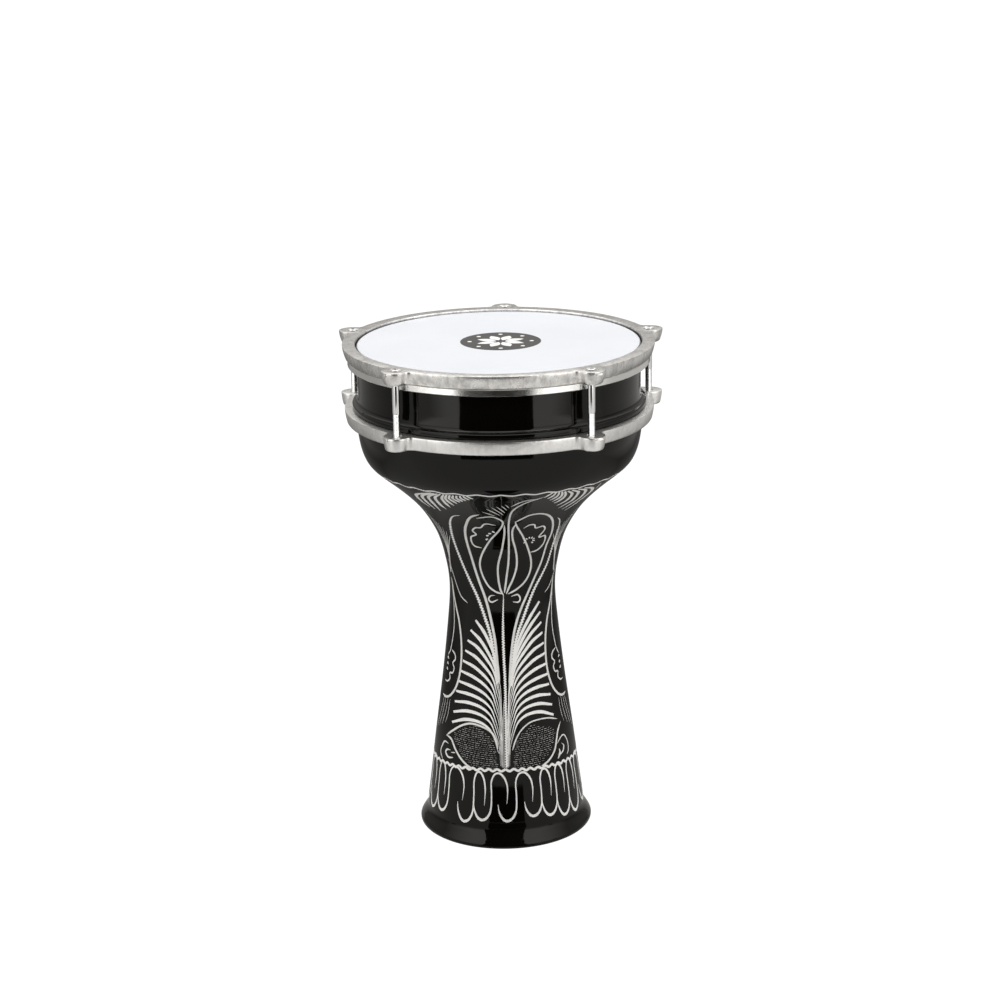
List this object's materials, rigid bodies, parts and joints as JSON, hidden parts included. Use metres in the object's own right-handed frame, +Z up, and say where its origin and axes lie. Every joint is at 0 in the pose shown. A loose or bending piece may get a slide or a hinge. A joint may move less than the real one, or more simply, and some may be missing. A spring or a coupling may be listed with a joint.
{
  "type": "goblet drum",
  "caption": "Goblet-shaped hand drum with a black engraved metal shell, a white plastic head and screw-tensioned rings.",
  "frame": {"origin": "centre of the foot, on the surface the drum stands on", "axes": "+Z up along the drum's axis, from foot to head; -Y is the side seen from the front; +X to the right of that view"},
  "size_m": [0.2227, 0.2223, 0.348],
  "materials": {
    "shell_lacquer": "gloss black lacquer over cast aluminium, hand engraved down to bare metal",
    "film": "smooth white polyester film",
    "hoop": "bright rolled aluminium",
    "resin": "cast resin",
    "tension_ring": "cast, then tumbled and softly polished",
    "counter_ring": "cast, then tumbled and softly polished",
    "bolts": "bright plated steel"
  },
  "bodies": {
    "shell": {"shell": "shell_lacquer", "counter_ring": "counter_ring"},
    "tension_ring": {"tension_ring": "tension_ring"},
    "head": {"drumhead_film": "film", "head_hoop": "hoop", "head_resin": "resin"},
    "tension_bolt_1": {"tension_bolt_1": "bolts"},
    "tension_bolt_2": {"tension_bolt_2": "bolts"},
    "tension_bolt_3": {"tension_bolt_3": "bolts"},
    "tension_bolt_4": {"tension_bolt_4": "bolts"},
    "tension_bolt_5": {"tension_bolt_5": "bolts"}
  },
  "joints": [
    {"name": "tension_ring_slide", "type": "slide", "parent": "shell", "child": "tension_ring", "axis": [0, 0, 1], "range_m": [0, 0.003]},
    {"name": "head_slide", "type": "slide", "parent": "shell", "child": "head", "axis": [0, 0, 1], "range_m": [0, 0.0015]},
    {"name": "tension_bolt_1_turn", "type": "hinge", "parent": "tension_ring", "child": "tension_bolt_1", "pos_m": [0.00468, 0.1071, 0.3476], "axis": [0, 0, 1], "range_deg": [0, 1350]},
    {"name": "tension_bolt_2_turn", "type": "hinge", "parent": "tension_ring", "child": "tension_bolt_2", "pos_m": [-0.10041, 0.03754, 0.3476], "axis": [0, 0, 1], "range_deg": [0, 1350]},
    {"name": "tension_bolt_3_turn", "type": "hinge", "parent": "tension_ring", "child": "tension_bolt_3", "pos_m": [-0.06673, -0.0839, 0.3476], "axis": [0, 0, 1], "range_deg": [0, 1350]},
    {"name": "tension_bolt_4_turn", "type": "hinge", "parent": "tension_ring", "child": "tension_bolt_4", "pos_m": [0.05917, -0.08939, 0.3476], "axis": [0, 0, 1], "range_deg": [0, 1350]},
    {"name": "tension_bolt_5_turn", "type": "hinge", "parent": "tension_ring", "child": "tension_bolt_5", "pos_m": [0.1033, 0.02865, 0.3476], "axis": [0, 0, 1], "range_deg": [0, 1350]}
  ],
  "couplings": [
    {"joint": "tension_bolt_1_turn", "follows": "tension_ring_slide", "rad_per_m": 7854},
    {"joint": "tension_bolt_2_turn", "follows": "tension_ring_slide", "rad_per_m": 7854},
    {"joint": "tension_bolt_3_turn", "follows": "tension_ring_slide", "rad_per_m": 7854},
    {"joint": "tension_bolt_4_turn", "follows": "tension_ring_slide", "rad_per_m": 7854},
    {"joint": "tension_bolt_5_turn", "follows": "tension_ring_slide", "rad_per_m": 7854},
    {"joint": "head_slide", "follows": "tension_ring_slide", "ratio": 0.5}
  ]
}
